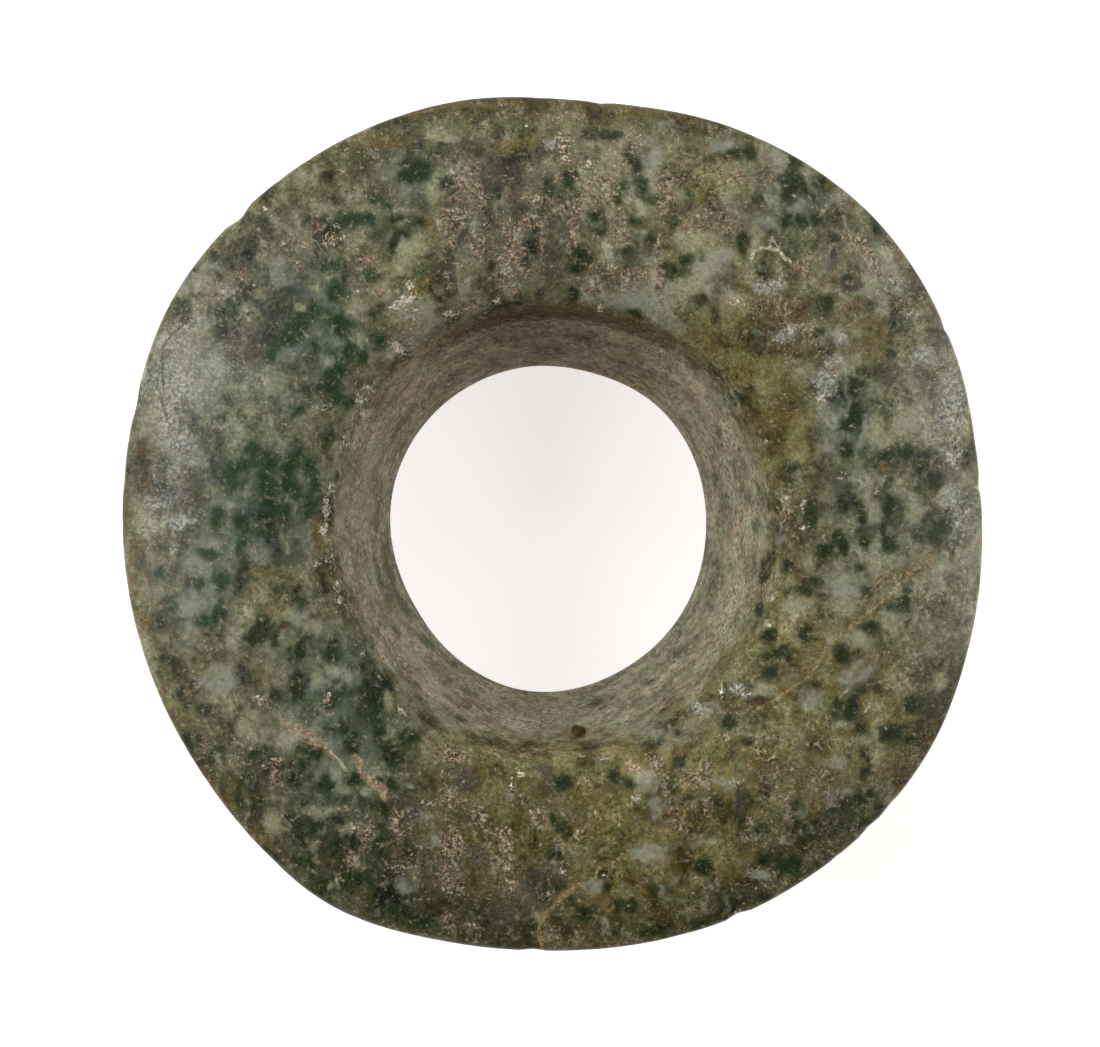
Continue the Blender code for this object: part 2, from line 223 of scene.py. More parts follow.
tanCrust = [
    (-82, -187, 15, 8), (-84, -226, 10, 15), (-82, -260, 13, 18), (-82, -280, 13, 12, 8), (-78, -296, 14, 8),
    (-84, -322, 11, 10, 7), (-64, -326, 5, 4), (-60, -236, 8, 13), (-39, -266, 8, 20), (-33, -293, 6, 13),
    (-44, -252, 5, 6), (-32, -217, 4, 10), (-12, -237, 9, 13), (4, -258, 6, 5), (84, -195, 8, 8),
    (89, -208, 3, 9), (100, -239, 8, 10), (-80, 167, 22, 5, 8, 35), (-58, 176, 16, 4, 8, 15),
    (116, -207, 13, 8), (2, -331, 10, 7), (-124, -254, 9, 15, 6), (-152, -248, 9, 16), (-162, -272, 10, 9),
    (-226, -200, 6, 14), (126, -195, 5, 6), (125, -230, 3, 11), (157, -255, 8, 4), (137, -173, 8, 4),
    (183, -203, 16, 22, 5), (222, -162, 6, 11, 6), (205, -113, 4, 8, 7), (288, -123, 6, 9, 6),
    (213, -208, 12, 13, 5), (228, -220, 12, 8, 6), (-238, -142, 6, 4), (313, -58, 12, 3),
    (190, 10, 9, 16, 7), (-8, -182, 18, 3, 10, 12), (36, -188, 12, 3), (-60, -250, 45, 70, 1.5),
    (100, -220, 40, 40, 2), (190, -190, 45, 45, 3), (-237, -144, 9, 5, 10, -25), (-183, -144, 5, 8),
    (-218, -123, 2.5, 10), (-276, -103, 10, 6, 6), (93, -215, 3, 14), (102, -242, 6, 9),
    (128, -215, 2.5, 20, 8), (83, -188, 9, 4), (135, 280, 26, 19, 6), (100, 284, 13, 14, 5),
    (158, 280, 15, 7, 5), (129, 246, 29, 16, 6.5), (90, 252, 9, 24, 6), (86, 216, 5, 18, 7),
    (206, 210, 11, 8, 7), (155, 236, 16, 8, 5), (186, 176, 18, 15, 7), (242, 172, 18, 9, 5),
    (243, 231, 12, 6, 10, -30), (255, 217, 15, 7, 10, -50), (269, 201, 15, 6, 10, -50),
    (284, 180, 18, 12, 5, -50), (227, 225, 10, 12, 4), (200, 203, 12, 8, 6), (190, 153, 14, 10, 6),
    (220, 137, 20, 4, 6, -10), (220, 110, 9, 9, 5), (-28, 331, 7, 4), (18, 330, 12, 7), (12, 306, 9, 7),
    (-12, 264, 9, 7), (18, 253, 11, 9), (52, 249, 7, 6), (52, 235, 10, 6), (-76, 249, 17, 7, 8),
    (-60, 264, 9, 10, 8), (-62, 226, 8, 13, 8), (-34, 219, 11, 11), (-37, 203, 10, 9), (-32, 189, 7, 6),
    (-16, 244, 12, 6), (-39, 244, 5, 5), (-72, 278, 9, 12, 7), (91, 267, 6, 21), (86, 189, 3, 13),
    (50, 205, 12, 5), (66, 199, 12, 8), (31, 189, 8, 4), (-50, 235, 45, 60, 3), (25, 270, 35, 50, 3),
    (55, 205, 40, 25, 3), (-70, 285, 22, 20, 4), (-80, 250, 10, 30, 4.5), (-83, 195, 3, 20, 8),
    (-9, 220, 3.5, 40, 7), (15, 235, 4, 30, 7), (9, 302, 8, 14), (87, 200, 3, 34, 7), (32, 264, 16, 12, 6),
    (65, 303, 9, 6), (42, 280, 12, 5), (31, 266, 9, 4), (54, 292, 8, 6), (-17, 293, 4, 7),
    (-193, 246, 5, 12), (-187, 238, 4, 6), (-174, 227, 10, 8), (-203, 225, 8, 5), (-207, 208, 4, 6),
    (-217, 227, 5, 4), (-250, 203, 6, 7), (-225, 192, 4, 4), (-152, 213, 9, 5), (-140, 188, 4, 8),
    (-166, 282, 11, 8, 5), (-275, 187, 14, 11, 6),
]

ochreStains = [
    (-67, 338, 40, 5), (-30, 340, 16, 4), (63, 336, 16, 6), (-110, 330, 15, 5), (-137, 310, 26, 9),
    (-34, 308, 17, 11), (-16, 310, 8, 10), (-98, 239, 6, 17), (-107, 190, 13, 13), (-112, 167, 11, 10),
    (-119, 155, 12, 12, 6), (223, 276, 9, 5), (242, 257, 8, 5), (200, 209, 8, 6), (123, 139, 15, 10),
    (152, 118, 15, 13), (121, 154, 15, 8), (252, 161, 11, 8), (292, 199, 8, 5), (280, 216, 6, 9),
    (304, 174, 6, 6), (179, 86, 26, 19), (187, 60, 14, 4), (214, 55, 9, 5), (272, 45, 8, 4),
    (288, -40, 13, 6), (252, -116, 18, 4, 10, 40), (163, -195, 10, 8), (190, -173, 12, 8),
    (215, -230, 8, 16), (155, -267, 13, 6), (148, -283, 16, 6), (310, -163, 4, 10), (31, -239, 22, 26),
    (25, -213, 15, 15), (42, -308, 12, 10), (47, -326, 3, 6), (60, -178, 8, 4), (-189, -12, 8, 16),
    (-233, -38, 14, 3), (-223, -70, 9, 9), (-245, -55, 9, 5), (-342, -8, 6, 5), (-338, -24, 7, 12),
    (-330, -80, 7, 13), (-346, 15, 3, 30), (-341, -48, 4, 15), (-313, -136, 5, 11), (-300, -160, 7, 5),
    (-237, -127, 9, 9), (-262, -225, 5, 7), (-234, -256, 15, 5, 10, -48), (-278, -205, 10, 4, 10, -55),
    (-237, 257, 5, 5), (-258, 108, 3, 7),
]

faceClouds["rustStains"] = [
    (-335, 47, 6, 9), (-327, 58, 8, 5), (-330, 30, 9, 5), (-218, -5, 20, 5, 5), (-217, -83, 4, 3),
    (-268, 223, 9, 6), (-257, 232, 5, 5), (-173, 258, 7, 2), (-207, 247, 6, 8, 6), (106, 326, 12, 6),
    (114, 309, 8, 6, 6), (223, 197, 9, 6), (189, 169, 23, 23), (245, 174, 12, 7), (252, 144, 16, 9),
    (266, 157, 5, 8), (228, 126, 5, 3), (199, 145, 6, 5), (149, 195, 12, 8, 6), (332, 47, 6, 5),
    (328, 38, 5, 3), (277, 82, 7, 7, 6), (305, 22, 4, 4), (192, -3, 6, 17, 7), (199, -30, 5, 11),
    (329, -37, 3, 4), (280, -107, 4, 7, 6), (281, -152, 3, 9), (290, -200, 10, 15, 6), (68, -290, 13, 6),
    (111, -217, 9, 3), (84, -240, 11, 4, 6), (108, -323, 9, 5), (-243, -246, 5, 4),
    (-213, -272, 8, 5, 10, -35), (-203, -283, 5, 3), (-130, -324, 8, 4, 7),
]

whiteChips = [
    (-119, 181, 9, 4.5, 10, 20), (-116, 193, 4, 4), (-129, 175, 5, 2.5), (-124, 141, 9, 3.5, 10, -35),
    (-130, 135, 3, 3), (8, 309, 3, 5), (11, 300, 2, 4), (-109, 172, 3, 2.5), (-149, 108, 5, 3.5),
    (-155, 99, 4, 4), (-152, 88, 2.5, 5), (-167, 71, 3.5, 2, 10, 45), (-168, 65, 5, 2), (-179, 28, 3, 4),
    (-182.5, 12, 2.6, 11), (-184.5, -5, 3.5, 6), (-191, -33, 3, 2), (-179, -27, 1.5, 6),
    (-175, -50, 1.2, 5, 10, -30), (-172, -63, 2, 3.5), (-266, -64, 1.5, 2.5), (-238, -143, 6, 3, 10, -30),
    (-182, -138, 2, 3.5), (-179, -154, 4, 1.2), (-235, -193, 1, 3), (-275, -202, 3, 1), (-122, -151, 2, 3),
    (-164, -247, 5, 3), (116, -147, 5, 3, 10, 50), (121, -154, 2, 3), (136, -135, 2.5, 4),
    (151, -132, 1.5, 4), (156, -138, 4, 2), (242, -177.5, 1.5, 2), (151, -316, 6, 2), (160, -240, 1.5, 5),
    (149, -209, 5, 1.5), (175, -184, 1.5, 2), (256, -148, 3.5, 1, 10, 45), (40.5, -285.5, 3, 1.2),
    (7.5, -283, 3.5, 3), (68, -222, 4, 2.5), (-33, -212, 2, 5), (-26, -202, 3, 3), (-102, -227, 6, 2),
    (65, -197, 3.5, 3), (170, 65, 4, 2.5), (173, 52, 1.2, 1.5), (236, 40, 2, 3), (218, 102, 6, 4),
    (262, 24, 2, 3.5), (187, 20, 3.5, 3), (202, 17, 2, 5), (202, -3.5, 5, 1.5), (177, -60, 2.5, 3),
    (175, -82, 3.5, 2), (309, -61, 3, 1.5), (344, 30, 1.5, 4), (180.5, 148, 2.5, 1.8), (183, 196, 3, 2.5),
    (151, 183, 2, 3), (144, 178, 2, 1.2), (133, 204, 4, 1.5, 10, 20), (212, 235, 1, 1), (192, 157, 5, 3),
    (6, 315, 3.5, 3), (-45, 179, 3, 3), (-83, 169, 5, 2.5), (-51.5, 218, 1.5, 1), (20, 199, 1, 1),
    (-56, 243, 3, 1.5), (-54, 263, 2.5, 1.5), (-84, 285, 2.5, 1.5), (30, 292, 3.5, 3), (-21, 321, 3, 1.2),
    (38, 174, 3, 3), (-175, 242, 1.2, 3), (-169, 231, 3, 2), (-192.5, 258, 2, 1.5), (-231, 254, 3, 2),
    (-157.5, 189, 2, 2), (-162, 183, 2.5, 2), (-207, 209, 2, 4),
]

# places with thin, curly cream lines
faceClouds["creamCurls"] = [
    (48, 182, 22, 9), (-115, 160, 16, 18, 8), (32, -206, 12, 10), (33, -232, 13, 12), (20, -254, 10, 9),
    (50, -242, 9, 8), (66, -224, 8, 9), (55, -282, 15, 8, 8), (208, -160, 12, 10), (220, -178, 15, 10),
    (173, -186, 14, 9), (220, -200, 13, 12), (150, -209, 12, 6), (190, -220, 14, 10, 8), (137, -176, 14, 8),
    (186, 12, 9, 18), (196, -20, 7, 14, 8), (304, -40, 16, 8, 8, 35), (317, -62, 16, 5), (174, -60, 8, 9),
    (172, -83, 8, 7), (161, -102, 8, 8, 8), (332, 80, 8, 35), (224, 126, 20, 8), (256, 216, 24, 12, 10, -50),
    (202, 206, 12, 10), (169, 176, 14, 9, 8), (22, 284, 16, 12), (46, 272, 14, 14), (56, 242, 12, 16),
    (16, 236, 7, 22), (58, 196, 18, 10), (7, 298, 10, 12), (-30, 210, 14, 20), (-80, 225, 16, 25, 8),
    (-125, -242, 13, 16), (-188, -146, 10, 10), (-228, -195, 13, 16), (-162, -230, 15, 8, 8),
    (-215, -60, 9, 10, 8), (-195, -46, 13, 8, 8), (-180, 15, 6, 24), (-155, 98, 10, 16), (-185, 228, 22, 12),
    (-264, 196, 16, 12, 8), (-306, 86, 10, 30, 7), (93, 270, 9, 22), (130, 260, 25, 20, 7),
    (-84, -240, 12, 30, 5), (-36, -265, 10, 30, 7), (110, -220, 16, 25, 8), (85, -196, 12, 10, 8),
]

# lines, each a half width and the points it runs through, in tenths of a mm too
tanVeins = [
    (1.7, [(306, -29), (292, -38), (282, -49), (274, -57), (262, -67), (247, -79), (232, -90), (221, -102),
           (213, -116), (206, -125), (187, -138), (165, -151)]),
    (0.8, [(273, -38), (266, -46), (258, -54), (251, -63)]),
    (1.8, [(32, -288), (17, -295), (7.5, -303), (-5, -315), (-11, -324), (-10, -339)]),
    (1.2, [(70, -258), (59, -267), (49, -275), (38, -279)]),
    (1.4, [(-25, -187), (-16, -184), (-6, -181), (2, -176)]),
]
paleScratches = [
    (1.3, [(161, 213), (163, 221), (169, 224), (177, 223), (183, 222), (189.5, 214)]),
    (1, [(177, 224), (178, 231)]),
    (0.7, [(233, -140), (239, -135)]),
    (0.8, [(253, -153), (258, -146)]),
    (1, [(-181, -184), (-174, -191), (-167, -201)]),
    (0.8, [(-124, -147), (-119, -154)]),
]
darkCracks = [
    (1, [(-296, 163), (-308, 153), (-315, 143), (-316, 125), (-315, 110), (-317, 98), (-311, 81)]),
    (1, [(4, 252), (9, 241), (16, 229)]),
    (1, [(-206, -136), (-199, -146), (-192, -153)]),
]
peachVein = [
    (2.5, [(-224, -156), (-216, -160), (-209, -164)]),
    (6, [(-209, -165), (-199, -172), (-191, -179)]),
    (2, [(-191, -179), (-183, -185), (-176, -194)]),
    (3, [(-161, -189), (-156, -198), (-151, -206)]),
    (5, [(-151, -206), (-142, -214), (-130, -222)]),
    (4.5, [(62, -193), (66, -197)]),
]

# broad drifts of tint
faceClouds["oliveDrifts"] = [
    (60, -260, 70, 70), (-40, -250, 70, 80), (120, -200, 60, 70, 7), (140, 140, 40, 60, 9, 40),
    (180, 60, 35, 50, 9), (180, -80, 50, 70, 7), (260, 150, 30, 30, 8), (130, 270, 40, 40, 5),
    (0, 340, 170, 20, 9), (-110, 180, 30, 30, 5), (-120, -200, 40, 30, 3), (240, -130, 50, 50, 5, 40),
    (-170, 310, 60, 30, 5, 30), (80, -330, 160, 25, 8), (-300, -130, 30, 60, 5),
    (-260, -220, 60, 20, 6, -50), (0, -182, 120, 15, 7), (290, -190, 30, 70, 5, -35), (-210, -40, 30, 20, 5),
    (320, -90, 30, 40, 4), (140, -240, 80, 70, 6), (240, -160, 60, 60, 6), (130, 240, 50, 60, 6),
    (-340, -30, 9, 60, 8),
]
greenDrifts = [
    (-190, 160, 40, 50, 9), (-230, 30, 50, 40), (-215, -25, 30, 20, 6), (-280, -50, 40, 60, 5),
    (-180, -130, 40, 50, 9), (-140, -180, 40, 40, 7), (-180, -250, 60, 40, 7, -40), (240, 80, 25, 50, 8),
    (260, 0, 40, 30, 5), (230, -50, 40, 30, 3), (-260, 120, 40, 60, 4), (-110, 280, 30, 30, 6),
    (190, 260, 40, 30, 6),
]
# darker drifts of tone; those along the lower rim are painted shade, as no lamp lights the rim from below
faceClouds["darkDriftsAndShade"] = [
    (-160, -280, 70, 30, 10, -38), (-40, -325, 90, 20, 9), (120, -320, 90, 24, 9, 15),
    (210, -255, 60, 30, 10, 45), (315, -145, 25, 50, 9, 15), (-240, -200, 30, 60, 6, 35),
    (-225, 20, 30, 30, 7), (-205, 170, 20, 20, 8), (0, 169, 50, 7), (-150, -150, 20, 30, 8),
    (-125, -180, 20, 20, 6), (-160, 300, 50, 30, 5, 25), (-40, 270, 30, 50, 5), (2, 220, 15, 30, 4),
    (185, 165, 25, 20, 5), (-130, 240, 30, 30, 3), (-120, -235, 20, 25, 9), (-60, -260, 50, 70, 6),
    (30, -270, 40, 60, 3), (-50, 340, 90, 13, 9), (100, 322, 30, 13, 8, -20), (-170, -70, 12, 15, 8),
    (-290, -185, 14, 30, 10, 30), (290, -190, 14, 30, 8, -35), (160, -255, 15, 15, 8), (-8, 260, 16, 16, 7),
    (189, 34, 12, 10, 8), (172, 282, 10, 12, 7), (-237, -255, 12, 30, 7, 45), (-147, 200, 12, 10, 7),
    (-140, 268, 13, 11, 7), (-214, 220, 15, 15, 7), (4, -283, 10, 13, 8), (-64, 303, 16, 10, 6),
    (-216, 78, 12, 10, 6), (-143, 316, 22, 13, 10, 20), (-103, 330, 14, 8, 8), (-256, -173, 12, 15, 7),
    (-90, -283, 14, 16, 6), (-80, -200, 14, 12, 6), (30, 296, 14, 10, 6), (-346, 8, 6, 12, 8),
    (-332, 100, 8, 12, 7), (-176, -130, 12, 14, 6), (-36, -288, 9, 14, 6), (-34, 233, 9, 12, 6),
    (-270, -132, 12, 12, 6), (-210, -26, 14, 12, 6), (-133, -252, 12, 14, 8), (68, 298, 12, 18),
    (142, -153, 15, 10, 8), (-1, -215, 12, 10, 8), (-26, -223, 8, 10, 7), (16, 245, 8, 10, 8),
    (-16, -343, 12, 5, 8), (-58, 220, 15, 20, 5),
]
faceClouds["paleDrifts"] = [
    (-310, 110, 25, 50, 8), (-315, 30, 20, 50, 5), (-260, 120, 40, 40, 4), (-340, -20, 9, 50, 8),
    (320, 80, 22, 60, 8), (330, -10, 18, 40, 8), (280, 210, 40, 15, 7, -50), (-115, 175, 15, 22, 9),
    (75, 280, 20, 40, 6), (130, 240, 30, 30, 6), (60, 190, 40, 15, 7), (45, 240, 20, 30, 4),
    (280, 80, 20, 30, 5), (235, -55, 17, 22, 8), (75, -210, 15, 15, 6), (75, -270, 20, 12, 7),
    (120, -160, 30, 15, 5, 30), (320, -40, 20, 40, 5), (-300, -83, 22, 22, 8), (310, 150, 20, 30, 4),
    (-110, 152, 16, 16, 9), (-110, 169, 13, 11, 9), (76, 172, 24, 12), (128, 190, 18, 18, 9),
    (-305, -34, 20, 14, 8), (-260, -36, 10, 10, 7), (80, -168, 22, 12, 9), (250, -120, 16, 11, 8, 40),
    (336, -84, 8, 25, 8), (260, 11, 8, 12, 7), (-176, 60, 8, 20, 7), (168, -78, 10, 15, 7),
    (303, 122, 12, 12, 8), (72, 220, 12, 12, 7), (195, -126, 10, 10, 6), (254, -118, 10, 7, 6, 40),
    (203, -134, 8, 8, 6), (167, 147, 10, 10, 7), (145, 251, 12, 10, 7), (35, 340, 10, 6, 8),
]

faceClouds["greyDrifts"] = [
    (-220, 200, 70, 70, 8), (-285, 60, 40, 90, 8), (-40, 260, 60, 50, 8), (270, 200, 30, 40, 6),
    (10, -230, 20, 30, 6), (-10, -290, 20, 25, 6), (-220, -20, 50, 40, 4), (290, 110, 30, 30, 4),
    (320, -90, 25, 40, 6), (330, 0, 15, 40, 5), (-220, 100, 40, 35, 6),
]

# bare, pinkish places on the throat's wall, and soft green spots
throatScuffs = [
    (-156, 10, 9, 60), (-146, 70, 12, 20, 10, -30), (-115, 118, 25, 10, 10, 45), (-80, 147, 20, 8, 10, 30),
    (40, 160, 40, 5, 10, -12), (-55, -136, 40, 10, 10, -20), (0, -157, 35, 6), (150, -10, 7, 40),
    (153, -55, 4, 15), (123, 95, 12, 20, 10, 35), (-120, -108, 25, 8, 10, -45), (-65, 159, 35, 10, 8, 22),
    (10, 164, 40, 9, 8), (80, 142, 30, 9, 8, -30), (-105, 116, 10, 24, 8, -45),
]
throatSpots = [
    (135, -34, 3.5, 8), (129, -69, 4, 6), (145, -38, 3, 6), (165, -2, 3, 7), (159, -76, 3, 5),
    (160, 20, 2.5, 6), (133, 35, 3, 8), (103, -105, 9, 4, 10, 45), (148, 50, 3, 7), (-89, -129, 6, 4),
    (-134, -65, 3.5, 12), (77, -130, 8, 3, 10, 30), (-136, -20, 3, 15), (136, 74, 3, 6), (25, 152, 10, 3),
    (-45, 149, 8, 2.5), (-132, -45, 3.5, 20, 10, 20), (-122, -68, 3.5, 16, 10, 32),
    (-143, -42, 3, 24, 10, 14), (-106, -94, 13, 3.5, 10, -42), (-128, -86, 10, 3, 10, -50),
    (-80, -116, 10, 3, 10, -32), (-68, -138, 12, 3, 10, -25), (35, -146, 9, 2.5, 10, 10),
]


# The stone: a copy of the CAD solid, made fine enough to carry chips, pits and crust

stoneSettings = {
    "subdivisions": 2,
    # all in mm
    "groundWaves": 0.05,  # the unevenness that hand grinding left
    "groundWaveWidth": 6.0,
    "crustThickness": 0.09,
    "crustLumpWidth": 0.7,
    "pitDepth": 0.14,
    "pitWidth": 1.1,
    "veinRecess": 0.12,
    "chipDepth": 0.12,
    "nibbleDepth": 0.05,
    "nibbleWidth": 1.7,
    "rimFill": 0.07,  # what smoothing took off the rim
    "filmThickness": 0.18,  # of the soil and scale on the throat's wall
    "throatMiddle": (0.0, -0.45),
    "mouthRadius": 18.2,
    "mouthWearWidth": 0.55,
    "stemReach": 19.5,  # the stem shows within it
    # radii and heights between which the rim and the foot begin
    "rimZone": (33.2, 34.3),
    "nibbleZone": (32.6, 33.6),
    "footZone": (0.5, 1.4),
    "filmZone": (0.3, 1.5),
    "filmTop": 22.6,
    "markSway": 0.25,  # how far the edges of the listed marks wander
    "markSwayWidth": 1.6,
    "spotSoftness": 0.5,
    "chipSoftness": 0.3,
    "tieHoleHeights": (14.5, 18.5),
    # like the marks above
    "tieHole": (21, -168.8, 6.2, 4.2),
    "tieHoleRust": (17, -167, 16, 7),
}

# chips out of the rim: x, y, reach and depth in mm
rimChips = [
    (-25.5, 24.9, 1, 0.3), (-1.6, -34.8, 0.9, 0.14), (25.5, -24.5, 0.7, 0.12), (27.4, -22.7, 0.6, 0.08),
    (31.9, 15.9, 0.6, 0.14), (15.1, -31.9, 0.8, 0.2), (3.8, 34.2, 0.7, 0.12), (-33.9, 9.6, 1.2, 0.12),
    (34.8, 3.1, 0.8, 0.12),
]


def copyStone(settings):
    node = frame["nodes"]["ear_flare"]
    bpy.ops.object.select_all(action="DESELECT")
    node.select_set(True)
    bpy.context.view_layer.objects.active = node
    bpy.ops.object.duplicate()
    stone = bpy.context.active_object
    stone.name = "jadeEarFlare"
    stone.data.name = "jadeEarFlare"
    stone.parent = None
    del stone["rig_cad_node"]
    bpy.ops.mesh.customdata_custom_splitnormals_clear()
    bpy.ops.object.mode_set(mode="EDIT")
    bpy.ops.mesh.select_all(action="SELECT")
    bpy.ops.mesh.remove_doubles(threshold=0.01 * mm)
    bpy.ops.mesh.tris_convert_to_quads(face_threshold=math.radians(60), shape_threshold=math.radians(60))
    bpy.ops.mesh.mark_sharp(clear=True)
    bpy.ops.object.mode_set(mode="OBJECT")
    finer = stone.modifiers.new("finer", "SUBSURF")
    finer.levels = settings["subdivisions"]
    finer.render_levels = settings["subdivisions"]
    bpy.ops.object.modifier_apply(modifier=finer.name)
    bpy.ops.object.shade_smooth()
    return stone


def smoothStep(low, high, values):
    share = np.clip((values - low) / (high - low), 0, 1)
    return share * share * (3 - 2 * share)


def readVectors(collection, name):
    values = np.zeros(len(collection) * 3, np.float32)
    collection.foreach_get(name, values)
    return values.reshape(-1, 3).astype(float)


def noiseAt(points, width, shift):
    # smooth noise from about -1 to 1, with lumps of this width in mm
    return np.array([
        noise.fractal(Vector(point) / width + Vector((shift, shift, shift)), 1.0, 2.0, 2)
        for point in points
    ])


def markDistance(seen, mark):
    # 0 in the middle of a mark and 1 at its edge
    x, y, halfWidth, halfHeight = np.array(mark[:4]) / 10
    turn = math.radians(mark[5]) if len(mark) > 5 else 0
    right = seen[:, 0] - x
    up = seen[:, 1] - y
    across = (right * math.cos(turn) + up * math.sin(turn)) / halfWidth
    along = (up * math.cos(turn) - right * math.sin(turn)) / halfHeight
    return np.hypot(across, along)


def paintSpots(seen, marks, softness):
    # above 0 inside the spots and below 0 outside them, by the distance to the edge
    field = np.full(len(seen), -1.0)
    for mark in marks:
        halfWidth = min(mark[2:4]) / 10
        field = np.maximum(field, (1 - markDistance(seen, mark)) * halfWidth / softness)
    return np.clip(field, -1, 1)


def paintClouds(seen, marks, sharpness=2):
    # 1 in the middle of the clouds, fading away over their edges
    bare = np.ones(len(seen))
    for mark in marks:
        strength = mark[4] / 10 if len(mark) > 4 else 1
        bare *= 1 - strength * np.exp(-markDistance(seen, mark) ** sharpness)
    return 1 - bare


def lineOffset(seen, paths, reach=6):
    # distance to the nearest line, in half widths, and negative on one side of it
    offset = np.full(len(seen), 1.5 * reach)
    for halfWidth, points in paths:
        for start, end in zip(points, points[1:]):
            start, end = np.array((start, end)) / 10
            length = np.linalg.norm(end - start)
            along = (end - start) / length
            passed = (seen - start) @ along
            side = (seen - start) @ np.array((-along[1], along[0]))
            beyond = np.maximum(0, np.maximum(-passed, passed - length))
            distance = np.hypot(side, beyond) / halfWidth * 10 * np.where(side < 0, -1, 1)
            offset = np.where(np.abs(distance) < np.abs(offset), distance, offset)
    return np.where(np.abs(offset) < reach, offset, reach)


def seenFromCamera(points):
    # where the camera sees each point, as a place at the height of the rim
    drop = cameraPlace.z - viewSettings["rimHeight"]
    middle = np.array((cameraPlace.x, cameraPlace.y))
    return middle + (points[:, :2] - middle) * (drop / (cameraPlace.z - points[:, 2]))[:, None]


def paintStone(points, normals, settings):
    height = points[:, 2]
    seen = seenFromCamera(points)
    # the edges of the listed marks wander a little
    width = settings["markSwayWidth"]
    sway = np.stack([noiseAt(points, width, 3), noiseAt(points, width, 17)], 1)
    swayed = seen + sway * settings["markSway"]
    mouth = settings["mouthRadius"]
    fromThroat = np.hypot(*(seen - settings["throatMiddle"]).T)
    bearing = np.arctan2(seen[:, 1], seen[:, 0])
    # the stem's outside stays plain, like the underside
    inward = -(normals[:, :2] * points[:, :2]).sum(1) / np.hypot(points[:, 0], points[:, 1])
    inner = smoothStep(-0.15, 0.15, inward)
    onTop = np.maximum(inner, smoothStep(0.3, 0.6, normals[:, 2]))
    facing = smoothStep(-0.35, 0.05, normals[:, 2])
    facing *= np.where(fromThroat < settings["stemReach"], onTop, 1)
    # the face runs over into the throat most gently at the lower right
    gentle = 0.5 + 0.5 * np.cos(bearing + math.radians(60))
    throat = inner * (1 - smoothStep(mouth - 0.9 - 2.0 * gentle, mouth + 0.4, fromThroat))
    low, high = settings["tieHoleHeights"]
    atHole = (height > low) & (height < high)
    lines = {
        "tanVeins": lineOffset(seen, tanVeins),
        "paleScratches": lineOffset(seen, paleScratches),
        "darkCracks": lineOffset(seen, darkCracks),
    }
    nearLine = np.min(np.abs(list(lines.values())), axis=0) < 5
    peach = lineOffset(swayed, peachVein)
    mouthRing = np.exp(-((fromThroat - mouth + 0.3) / 0.6) ** 2)
    mouthShade = np.exp(-((fromThroat - mouth + 0.6) / 0.6) ** 2)
    mouthWear = np.exp(-((fromThroat - mouth) / settings["mouthWearWidth"]) ** 2)
    # the spots are bluer on the left
    bluish = [mark for mark in greenSpots if mark[0] < -130 and mark[1] > -80]
    yellowish = [mark for mark in greenSpots if mark not in bluish]
    greenDrift = paintClouds(swayed, greenDrifts)
    paleAndSheenCloud = paintClouds(swayed, paleCloudsAndSheen)
    ochre = np.maximum(paintClouds(swayed, ochreStains), mouthRing * (0.35 + 0.45 * np.sin(bearing)))
    spots = {
        "greenSpots": paintSpots(swayed, bluish, settings["spotSoftness"]),
        "oliveSpots": paintSpots(swayed, yellowish, settings["spotSoftness"]),
        "whiteChips": paintSpots(seen, whiteChips, settings["chipSoftness"]),
        "peachVein": np.clip(1 - np.abs(peach), -1, 1),
    }
    onFace = {name: paintClouds(swayed, marks) for name, marks in faceClouds.items()}
    onFace.update({
        "paleCloudsAndSheen": paleAndSheenCloud,
        "greenDrifts": greenDrift,
        "flecks": 0.6 * (1 - greenDrift) * (1 - 0.8 * paleAndSheenCloud),
        "tanCrust": 0.9 * paintClouds(swayed, tanCrust, 4) * (1 - throat),
        "ochreStains": ochre,
        "mouthShade": mouthShade * smoothStep(0.6, 1.0, np.sin(bearing)),
        "mouthWear": mouthWear * (0.35 + 0.42 * np.clip(-np.cos(bearing + 0.25), 0, 1)),
    })
    inThroat = {
        "throatFilm": (normals[:, 2] > -0.6) * (height < settings["filmTop"]),
        "throatGreen": 0.5 + 0.5 * np.cos(bearing + 0.5),
        # painted light: the throat's top wall, which faces away from the top lamp, is made paler
        "throatTopPaintedLight": smoothStep(-0.2, 1, np.sin(bearing)),
        "throatScuffs": paintClouds(swayed, throatScuffs),
        "throatSpots": paintClouds(swayed, throatSpots),
    }
    paint = {
        "lineNearness": np.where(nearLine & (facing > 0.5), 1, -3),
        "mouthSlope": 1 - smoothStep(20, 22.5, fromThroat),
        # the tie hole is a dark spot, the painted shade of its inside
        "tieHole": np.exp(-markDistance(seen, settings["tieHole"]) ** 4) * atHole,
        "tieHoleRust": np.exp(-markDistance(seen, settings["tieHoleRust"]) ** 2) * atHole,
    }
    paint.update(lines)
    paint.update({name: values * facing - (1 - facing) for name, values in spots.items()})
    paint.update({name: values * facing for name, values in onFace.items()})
    paint.update({name: values * throat for name, values in inThroat.items()})
    return paint


